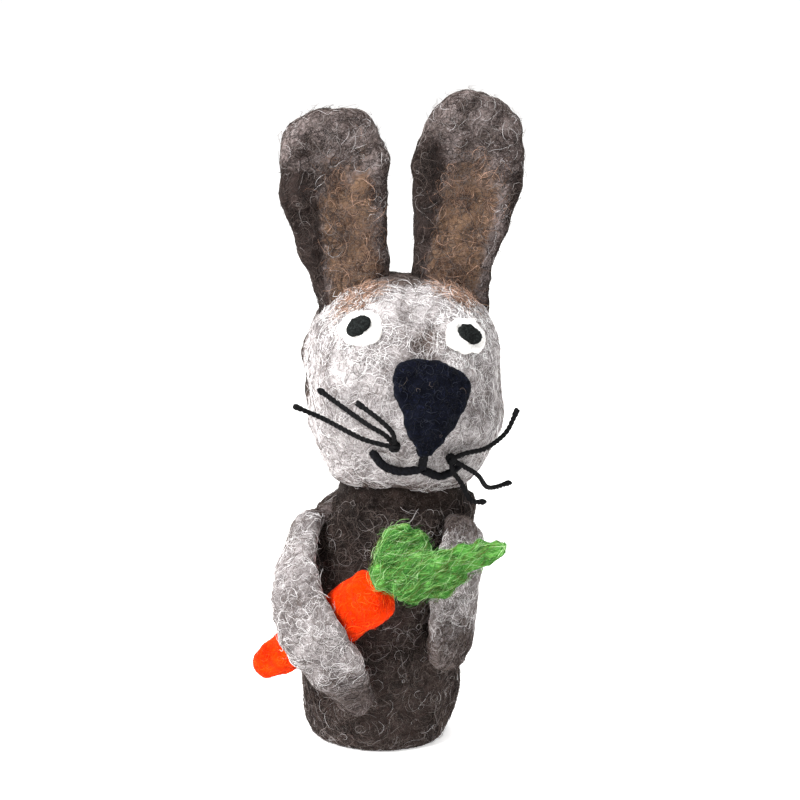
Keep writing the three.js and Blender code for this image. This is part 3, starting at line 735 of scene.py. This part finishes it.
def beside(degrees, out, down):
    """A place for an arm's middle: at that angle from the front, so far out from where the arm
    just clears the trunk, and so far below the neck's centre."""
    z = NECK[2] - down
    r, a = float(flank(z)) + ARM_HALF_THICKNESS + GAP + out, math.radians(degrees)
    return [float(lean(z)) + r * math.sin(a), -r * math.cos(a), z]


OVER_CARROT = 2 * CARROT_RADIUS + GAP
ARM = {
    "right": {
        "line": [
            beside(-72, -0.6, 2.8), beside(-66, 0.9, 5.0), beside(-52, 3.8, 8.8),
            beside(-36.5, OVER_CARROT - 2, 13.6), beside(-25, OVER_CARROT, 20),
            beside(-15.5, OVER_CARROT - 4.6, 28.5), beside(-9, 0.9, 35), beside(-5, 0.2, 39.5),
        ],
        "pivot": (-11.6, -5.7, 47.0), "inwards": (0.94, 0.33, 0), "lower": (-14.5, -13.0, 40.0),
    },
    "left": {
        "line": [
            beside(53, -0.4, 1.6), beside(53, 0, 9), beside(51, 0, 18), beside(49, 0.1, 26),
            beside(47, 0.2, 32.5),
        ],
        "pivot": (17.9, -10.7, 47.0), "inwards": (-0.79, 0.61, 0), "lower": (17.4, -11.4, 39.5),
    },
}


def make_arm(side_name, seed):
    spec = ARM[side_name]

    def facing(p):
        if side_name == "left":
            return outward(p)
        d = outward(p) + np.array([-0.15, -0.9, 0]) * smooth(NECK[2] - p[:, 2], 2, 12)[:, None]
        return d / np.linalg.norm(d, axis=1)[:, None]

    def width(s):
        swell = 0.62 + 0.38 * np.sin(math.pi * np.minimum(1, 0.12 + 0.78 * s))
        return ARM_HALF_WIDTH * swell * (1 - 0.2 * smooth(s, 0.7, 1))

    def thickness(s):
        return ARM_SKIN * (1 - 0.25 * smooth(s, 0.75, 1))

    top = np.array(spec["pivot"]) + 2.4 * np.array(spec["inwards"]) + np.array([0, 0, -1.6])
    parts = [roll(spec["line"], width, thickness, facing), blob(top, (3.2, 3.2, 3.2))]
    skin, faces = remeshed(parts, 0.45, 6)
    end = np.array(spec["line"][-1])
    # painted shade towards the arm's lower end and round its top, where it meets the head
    end_shade = 0.95 * (1 - smooth(np.linalg.norm(skin - end, axis=1), 2, 22))
    shoulder_shade = 1 - smooth(np.linalg.norm(skin - top, axis=1), 3.2, 6.5)
    skin = lumpy(skin, faces, seed, 0.3, 0.2, 0.06, (12, 6, 2.2))
    end = np.maximum(end_shade, shoulder_shade)
    arm = mesh_object(f"arm_{side_name}_felt", skin, faces, [mat_arm], end=end)
    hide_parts(f"arm_{side_name}")
    return arm


def blend_arm(piece):
    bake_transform(piece)


def make_nose():
    skin, faces = remeshed([node_part("nose")], 0.32, 10)
    flat = (skin - HEAD) @ turn_z(HEAD_TURN)
    middle = 1 - smooth(np.hypot(flat[:, 0] - 1.8, (flat[:, 2] - 1.5) * 0.8), 1, 8)
    n = normals_of(skin, faces)
    outwards = np.clip(-(n @ turn_z(HEAD_TURN))[:, 1], 0, 1)
    skin = skin + n * (0.35 + 0.7 * middle * outwards)[:, None]
    fuller = smooth(flat[:, 2], -9.5, -4) * (1 - smooth(flat[:, 2], 0, 6))
    fuller = fuller * smooth(1.2 - flat[:, 0], 0, 3)
    skin = skin - np.outer(0.4 * fuller, turn_z(HEAD_TURN)[:, 0])
    skin = lumpy(skin, faces, 401, 0.12, 0.1, 0.05, (6, 3, 1.2))
    nose = mesh_object("nose_felt", skin, faces, [mat_nose])
    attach(nose, "head")
    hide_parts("nose")
    return nose


def make_eye(side, side_name):
    skin, faces = remeshed([node_part(f"eye_white_{side_name}")], 0.22, 14)
    n = normals_of(skin, faces)
    skin = skin + n * (0.3 + 0.16 * waves(skin, 3.6, 440 + side))[:, None]
    skin = lumpy(skin, faces, 431 + side, 0.06, 0.05, 0.03, (5, 2.2, 1.0))
    white = mesh_object(f"eye_white_{side_name}_felt", skin, faces, [mat_white])
    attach(white, "head")
    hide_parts(f"eye_white_{side_name}")
    return white


# ------- threads
def spline(points, step):
    """An even run of points on a smooth curve through the given ones."""
    p = np.asarray(points, float)
    ends = np.concatenate([[2 * p[0] - p[1]], p, [2 * p[-1] - p[-2]]])
    fine = []
    for i in range(1, len(ends) - 2):
        t = np.linspace(0, 1, 24, endpoint=False)[:, None]
        a, b, c, d = ends[i - 1 : i + 3]
        square, cube = 2 * a - 5 * b + 4 * c - d, 3 * b - a - 3 * c + d
        fine.append(0.5 * (2 * b + (c - a) * t + square * t**2 + cube * t**3))
    fine = np.concatenate(fine + [p[-1:]])
    run = np.concatenate([[0], np.cumsum(np.linalg.norm(np.diff(fine, axis=0), axis=1))])
    even = np.linspace(0, run[-1], max(4, int(run[-1] / step)))
    return np.stack([np.interp(even, run, fine[:, k]) for k in range(3)], 1)


def tube(path, radii, sides=8):
    along = np.gradient(path, axis=0)
    along /= np.linalg.norm(along, axis=1)[:, None]
    frames, up = [], np.cross(along[0], [0.31, 0.17, 0.93])
    for a in along:
        up = up - a * (up @ a)
        up = up / np.linalg.norm(up)
        frames.append((up, np.cross(a, up)))
    angle = np.linspace(0, TAU, sides, endpoint=False)
    ring = [
        p + r * (np.outer(np.cos(angle), u) + np.outer(np.sin(angle), v))
        for p, r, (u, v) in zip(path, radii, frames)
    ]
    verts = np.concatenate(ring)
    caps = np.stack([np.arange(sides)[::-1], np.arange(sides) + (len(path) - 1) * sides])
    return verts, grid_faces(len(path), sides), caps, frames


def twisted(points, radius, pitch=2.4, plies=2, fray=0.0, seed=0, spread=0.36, rough=0.05):
    """A thread of twisted plies. With fray, its far end is a small thickened blob."""
    path = spline(points, 0.3)
    frames = tube(path, np.full(len(path), 0.1))[3]
    run = np.arange(len(path)) * 0.3
    left = run[-1] - run
    bulb = np.exp(-(((left - 0.7) / 0.75) ** 2)) * fray
    verts, quads, caps, base = [], [], [], 0
    for k in range(plies):
        turn = TAU * (run / pitch + k / plies)
        off = np.full(len(run), radius * spread)
        line = np.array([
            p + o * (math.cos(w) * u + math.sin(w) * v)
            for p, o, w, (u, v) in zip(path, off, turn, frames)
        ])
        uneven = 0.5 * np.sin(run * 2.3 + seed + 2 * k) + 0.5 * np.sin(run * 5.1 + 1.7 * seed + k)
        thick = radius * (1.08 - spread) * (1 + rough * uneven) * (1 + 0.45 * bulb)
        v, q, c, _ = tube(line, thick)
        verts.append(v)
        quads.append(q + base)
        caps.append(c + base)
        base += len(v)
    return np.concatenate(verts), np.concatenate(quads), np.concatenate(caps)


def thread_piece(name, runs, material, body, replaced):
    verts, quads, caps, base = [], [], [], 0
    for v, q, c in runs:
        verts.append(v)
        quads.append(q + base)
        caps.append(c + base)
        base += len(v)
    faces = [np.concatenate(quads), np.concatenate(caps)]
    piece = mesh_object(name, np.concatenate(verts), faces, [material])
    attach(piece, body)
    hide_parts(*replaced)
    return piece


WHISKERS = {
    "right": {
        "knot": (-4.9, -7.2),
        "lower": [(-7.9, -7, 2.2), (-12, -5.6, 3.6), (-18, -2.6, 4.6), (-24, 0.4, 5.4)],
        "middle": [(-7.2, -5, 2.6), (-10.4, -3, 3.2), (-14.6, -0.2, 3.2), (-19, 3, 3.2)],
        "upper": [(-6.0, -4.4, 3), (-8.6, -1.6, 3.8), (-12.4, 1.2, 4)],
    },
    "left": {
        "knot": (5.9, -10.4),
        "upper": [(8.8, -9.8, 2.2), (13.2, -9.4, 3), (17.8, -7.2, 3), (19.9, -2.4, 3)],
        "middle": [(8.2, -12.2, 2.8), (11.8, -14.8, 4.4), (15.2, -18.8, 5.4), (20.4, -19, 6.2)],
        "lower": [(6.4, -13.2, 3.2), (8.2, -15.8, 4.4), (10.2, -19.4, 5), (13.4, -20.4, 6)],
    },
}


def whisker_point(x, z, ahead):
    near_x = np.clip(x, -HALF[0] * 0.86, HALF[0] * 0.86)
    near_z = max(z, -HALF[2] * 0.7)
    return [x, float(face_depth(np.array([near_x]), np.array([near_z]))[0]) - ahead, z]


def make_whiskers(side_name):
    spec = WHISKERS[side_name]
    knot = on_face(*spec["knot"], 1.2)[0][0]
    for i, strand in enumerate(("lower", "middle", "upper")):
        points = [knot] + [whisker_point(*p) for p in spec[strand]]
        thread_piece(
            f"whisker_{side_name}_{strand}_thread",
            [twisted(head_to_frame(points), WHISKER_RADIUS, 1.9, 2, 0.9, i)],
            mat_thread, f"whiskers_{side_name}", [f"whisker_{side_name}_{strand}"],
        )
    rng = np.random.default_rng(17 if side_name == "left" else 18)
    loops = []
    for k in range(3):
        ring = []
        axis = rng.normal(size=3)
        axis /= np.linalg.norm(axis)
        u = np.cross(axis, [0.2, 0.9, 0.3])
        u /= np.linalg.norm(u)
        v = np.cross(axis, u)
        for a in np.linspace(0, TAU * 0.93, 14):
            ring.append(knot + 0.72 * (math.cos(a) * u + math.sin(a) * v))
        loops.append(twisted(head_to_frame(ring), WHISKER_RADIUS, 2.0, 2, 0.0, k))
    thread_piece(
        f"whisker_knot_{side_name}_thread", loops, mat_thread, "head",
        [f"whisker_knot_{side_name}"],
    )


def yarn_run(places, radius, lift):
    path = spline([(x, 0, z) for x, z in places], 1.0)
    points = on_face(path[:, 0], path[:, 2], lift)[0]
    return twisted(head_to_frame(points), radius, 3.2, 3, spread=0.3, rough=0.12)


def make_mouth():
    lip = -12.8
    runs = {
        "philtrum": [(0.7, -9.2), (0.7, -11), (0.6, lip + 0.4)],
        "mouth_right": [
            (0.3, lip + 0.3), (-1.2, lip), (-3.8, lip - 0.1), (-6.8, lip + 1.2), (-8.8, lip + 3.9),
        ],
        "mouth_left": [(0.8, lip), (2, lip - 0.6), (4.2, lip - 1.6), (6.4, lip - 1), (8.2, lip + 0.7)],
    }
    for name, places in runs.items():
        run = yarn_run(places, 0.82, 0.62)
        thread_piece(f"{name}_yarn", [run], mat_yarn, "head", [name])


def make_pupil(side_name):
    """A slanted patch of close black stitches, a little raised."""
    skin, faces = remeshed([node_part(f"pupil_{side_name}")], 0.17, 9)
    skin = skin + normals_of(skin, faces) * 0.34
    skin = lumpy(skin, faces, 451, 0.06, 0.06, 0.05, (4, 1.6, 0.7))
    pupil = mesh_object(f"pupil_{side_name}_stitches", skin, faces, [mat_pupil_painted_glints])
    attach(pupil, "head")
    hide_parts(f"pupil_{side_name}")


# ------- carrot
CROWN_ROUND, CROWN_OUT, CROWN_DOWN = math.radians(4.4), CARROT_RADIUS + GAP + 2.4, 12.2
CROWN_Z = NECK[2] - CROWN_DOWN
CROWN_R = float(flank(CROWN_Z)) + CROWN_OUT
CROWN = np.array([
    float(lean(CROWN_Z)) + CROWN_R * math.sin(CROWN_ROUND), -CROWN_R * math.cos(CROWN_ROUND), CROWN_Z,
])
CARROT_TOWARDS = np.array([25, -8.2, 19]) / np.linalg.norm([25, -8.2, 19])


def make_carrot():
    share = np.linspace(0, 1, 70)
    stations = [0, 0.05, 0.25, 0.45, 0.65, 0.82, 0.93, 1]
    radius = np.interp(share, stations, [2.3, 3.0, 4.2, 4.8, 5.1, 5.4, 5.2, 4.3])
    kernel = np.ones(7) / 7
    radius = np.convolve(np.pad(radius, 3, "edge"), kernel, "valid")
    away = CARROT_LENGTH * share
    low = np.sqrt(np.clip(1 - (1 - np.clip(away / 2.2, 0, 1)) ** 2, 0.004, 1))
    high = np.sqrt(np.clip(1 - (1 - np.clip((CARROT_LENGTH - away) / 4.6, 0, 1)) ** 2, 0.004, 1))
    radius = radius * low * high
    sides = 64
    up = np.cross(CARROT_TOWARDS, [0, 0, 1.0])
    up /= np.linalg.norm(up)
    across = np.cross(CARROT_TOWARDS, up)
    angle = np.linspace(0, TAU, sides, endpoint=False)
    middle = CROWN - CARROT_TOWARDS * (CARROT_LENGTH - away)[:, None]
    ring = np.cos(angle)[:, None] * up + np.sin(angle)[:, None] * across
    verts = (middle[:, None] + radius[:, None, None] * ring[None]).reshape(-1, 3)
    faces = grid_faces(len(share), sides)
    ends = np.stack([np.arange(sides)[::-1], np.arange(sides) + (len(share) - 1) * sides])
    verts = lumpy(verts, faces, 501, 0.28, 0.16, 0.05, (10, 5, 1.8))
    root = mesh_object("carrot_felt", verts, [faces, ends], [mat_carrot])
    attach(root, "carrot")
    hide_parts("carrot_root")
    return root


LEAVES = [
    ([(0.0, -0.8, 1.6), (0.8, -1.6, 6.8), (3.8, -2.4, 9.8), (8.8, -2.6, 8.4)], 3.5, 2.2, 0.8),
    ([(0.4, -2.0, 1.4), (6.2, -3.8, 4.0), (13.0, -4.3, 6.4), (22.8, -3.6, 10.0)], 4.1, 1.75, 0.42),
    ([(1.0, 0.8, -0.4), (6.4, 0.2, -0.2), (11.0, -1.2, 1.8), (15.0, -2.6, 4.2)], 2.9, 1.5, 0.55),
]


def make_leaves():
    def front(p):
        return np.tile([0.0, -1.0, 0.0], (len(p), 1))

    parts = [
        roll(
            CROWN + np.array(line),
            lambda s, w=width, e=end: w * (1 - (1 - e) * s**1.5),
            lambda s, t=thick: t * (1 - 0.35 * s),
            front, 32, 0.5,
        )
        for line, width, thick, end in LEAVES
    ]
    parts.append(blob(CROWN + np.array([0.6, -0.6, 1.8]), (3.2, 2.8, 2.8)))
    skin, faces = remeshed(parts, 0.36, 5)
    x, y, z = skin.T
    streaks = np.stack([x * 0.5 + z * 0.12, y * 0.5, z - 0.45 * x], 1)
    skin = skin + normals_of(skin, faces) * (0.24 * waves(streaks, 2.6, 530))[:, None]
    skin = lumpy(skin, faces, 521, 0.25, 0.16, 0.06, (9, 4.5, 1.8))
    edge = 1 - smooth(np.abs(normals_of(skin, faces)[:, 1]), 0.1, 0.7)
    leaves = mesh_object("leaves_felt", skin, faces, [mat_leaf], edge=edge)
    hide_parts("leaf_upper", "leaf_front", "leaf_under")
    return leaves


def blend_leaves(piece):
    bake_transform(piece)


# ------- put together
body = make_body()
head = make_head()
nose = make_nose()
make_mouth()
for side, side_name in SIDES:
    make_eye(side, side_name)
    make_pupil(side_name)
    make_whiskers(side_name)

ears = {name: make_ear(side, name) for side, name in SIDES}
arms = {"right": make_arm("right", 601), "left": make_arm("left", 611)}
carrot = make_carrot()
leaves = make_leaves()

for material_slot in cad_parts["neck_wad"].material_slots:
    material_slot.material = mat_wadding

# ------- loose wool on every felt piece
DARK_MIX = (("pale", "grey", "taupe", "brown", "dark"), (0.3, 1.2, 3, 4.5, 4.5))
HOOD_MIX = (("grey", "taupe", "brown", "dark"), (1, 3, 4, 3))
FACE_MIX = (("white", "pale", "grey", "taupe", "brown"), (2.8, 3.6, 3, 1.8, 1.4))
ARM_MIX = (("white", "pale", "grey", "taupe", "brown"), (1.9, 3, 3.2, 2.3, 1.7))
EAR_MIX = (("pale", "grey", "taupe", "brown", "dark"), (0.5, 1.4, 3, 4, 4))
RIM_MIX = (("grey", "taupe", "brown", "dark"), (0.3, 1, 4, 7))
LINING_MIX = (("peach", "tan", "taupe", "brown", "dark"), (0.8, 3, 3, 3, 1.4))


def in_head(p):
    """Places in the frame, as places in the head's own frame."""
    return (np.asarray(p) - HEAD) @ turn_z(HEAD_TURN)


def outside_body(p, n):
    radial = np.hypot(p[:, 0] - lean(p[:, 2]), p[:, 1])
    return (radial > 10.8) * (p[:, 2] < NECK[2]) * 1.0


for k in range(2):
    piece = fuzz(
        f"body_fuzz_{k + 1}", body, 5800, [DARK_MIX], seed=700 + k, where=outside_body, lift=0.14
    )
    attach(piece, "trunk")


def clear_of_socket(p, n):
    return (np.linalg.norm(p - NECK, axis=1) > DOME + 1.2) * 1.0


for k in range(2):
    piece = fuzz(
        f"head_fuzz_{k + 1}", head, 5800, [FACE_MIX, HOOD_MIX], seed=720 + k, where=clear_of_socket,
        zone=lambda p: hood_tint(in_head(p)),
    )
    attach(piece, "head")


def tint_lookup(obj, key):
    """The object's tint at the nearest places of its skin."""
    values = np.empty(len(obj.data.vertices), np.float32)
    obj.data.attributes[key].data.foreach_get("value", values)
    places, _, triangles = arrays(obj)
    tree = BVHTree.FromPolygons(places.tolist(), triangles.tolist())
    return lambda p: np.array([values[triangles[tree.find_nearest(Vector(q))[2]][0]] for q in p])


def ear_zone(skin):
    """1 on the tan lining, 2 on the dark wool beside it, else 0, with wavering edges."""
    lining_at, rim_at = tint_lookup(skin, "lining"), tint_lookup(skin, "rim")

    def zone(p):
        lining = lining_at(p) + 0.16 * waves(p, 5, 31) > 0.5
        rim = rim_at(p) + 0.16 * waves(p, 5, 32) > 0.5
        return np.where(lining, 1.0, 2.0 * rim)

    return zone


piece = fuzz(
    "tuft_fuzz", head, 1500, [(("peach", "tan", "taupe", "brown"), (3, 4, 2, 1.5))], seed=735,
    where=lambda p, n: smooth(tuft_tint(in_head(p)), 0.2, 0.7), stray=0.2,
    comb=lambda p: np.tile([0, -0.6, -0.8], (len(p), 1)),
)
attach(piece, "head")


def near_eyes(p):
    x, y, z = in_head(p).T
    near = [(x - eye_x) ** 2 + (z - eye_z) ** 2 < EYE_FIBRES**2 for eye_x, eye_z in EYES.values()]
    return np.any(near, axis=0) * (y < 0)


piece = fuzz(
    "nose_fuzz", nose, 420, [(("ink", "slate", "taupe"), (6, 2.6, 0.2))], seed=738,
    length=(1.6, 4), radius=0.03,
    where=lambda p, n: 1.0 * (in_head(p)[:, 1] < -17.0), stray=0.04, stray_lift=0.5,
)
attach(piece, "head")
piece = fuzz(
    "eye_fuzz", head, 420, [(("snow",), (1,))], seed=737, length=(1.4, 3.2), lift=0.2, stray=0.05,
    where=lambda p, n: 1.0 * near_eyes(p),
)
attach(piece, "head")
for side, side_name in SIDES:
    skin = ears[side_name]
    piece = fuzz(
        f"ear_{side_name}_fuzz", skin, 6000, [EAR_MIX, LINING_MIX, RIM_MIX], seed=740 + side,
        zone=ear_zone(skin),
    )
    blend_ear(piece)
    blend_ear(skin)

for side_name, arm in arms.items():
    piece = fuzz(
        f"arm_{side_name}_fuzz", arm, 3600, [ARM_MIX, HOOD_MIX], seed=760 + len(side_name),
        # the end tint is painted shade; darker fibres follow it there
        zone=tint_lookup(arm, "end"),
    )
    blend_arm(piece)
    blend_arm(arm)

piece = fuzz(
    "carrot_fuzz", carrot, 1700, [(("orange", "amber", "rust"), (6, 1.6, 3))], seed=780,
    length=(1.8, 4.2), stray=0.05, stray_lift=0.7,
)
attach(piece, "carrot")
piece = fuzz(
    "leaves_fuzz", leaves, 3400,
    [(("green", "lime", "mint", "moss", "olive"), (4, 2.4, 0.7, 3.4, 2.2))], seed=790,
    length=(2.2, 5.5), stray=0.16, stray_lift=1.1, curl=0.12,
    comb=lambda p: np.tile([0.86, 0.0, 0.5], (len(p), 1)),
)
blend_leaves(piece)
blend_leaves(leaves)


# ------- floor, lights, camera
def make_floor():
    g = Graph("floor_pale")
    place = g.node("ShaderNodeTexCoord").outputs["Object"]
    tone = g.noise(place, 3.0, 3.0, 0.5)
    g.tree.links.new(g.mix(tone, srgb("f3f2f1"), srgb("f8f7f6")), g.shader.inputs["Base Color"])
    g.finish(0.9, 0.0, 0.4, 0.05)
    g.shader.inputs["Emission Color"].default_value = (1, 1, 1, 1)
    g.shader.inputs["Emission Strength"].default_value = 0.46
    size = 12000.0
    corners = np.array([[-size, -size, 0], [size, -size, 0], [size, size, 0], [-size, size, 0]])
    floor = mesh_object("floor", corners - [0, 0, 0.05], np.array([[0, 1, 2, 3]]), [g.material])


def area_light(name, place, target, size, power, colour=(1, 1, 1)):
    light = bpy.data.lights.new(name, "AREA")
    light.size = size
    light.energy = power
    light.color = colour
    obj = bpy.data.objects.new(name, light)
    obj.location = place
    obj.rotation_euler = (Vector(target) - Vector(place)).to_track_quat("-Z", "Y").to_euler()
    scene.collection.objects.link(obj)


make_floor()
world = bpy.data.worlds.new("studio")
scene.world = world
world.use_nodes = True
world.node_tree.nodes["Background"].inputs[0].default_value = (1.0, 1.0, 1.0, 1)
world.node_tree.nodes["Background"].inputs[1].default_value = 0.62
middle = (0.004, 0, 0.065)
area_light("key", (-0.32, -0.36, 0.48), middle, 0.26, 9.0)
area_light("fill", (0.50, -0.35, 0.25), middle, 0.5, 0.7)
area_light("top", (0.05, 0.18, 0.6), middle, 0.4, 3.0)

camera = bpy.data.objects.new("camera", bpy.data.cameras.new("camera"))
scene.collection.objects.link(camera)
scene.camera = camera
turn, elevation, distance = math.radians(6), math.radians(12), 0.45
aim = Vector((0.0042, 0.0, 0.0691))
level = math.cos(elevation)
towards = Vector((math.sin(turn) * level, -math.cos(turn) * level, math.sin(elevation)))
camera.location = aim + towards * distance
camera.rotation_euler = (-towards).to_track_quat("-Z", "Y").to_euler()
camera.data.sensor_width = 36
camera.data.lens = 102
scene.view_settings.view_transform = "Standard"
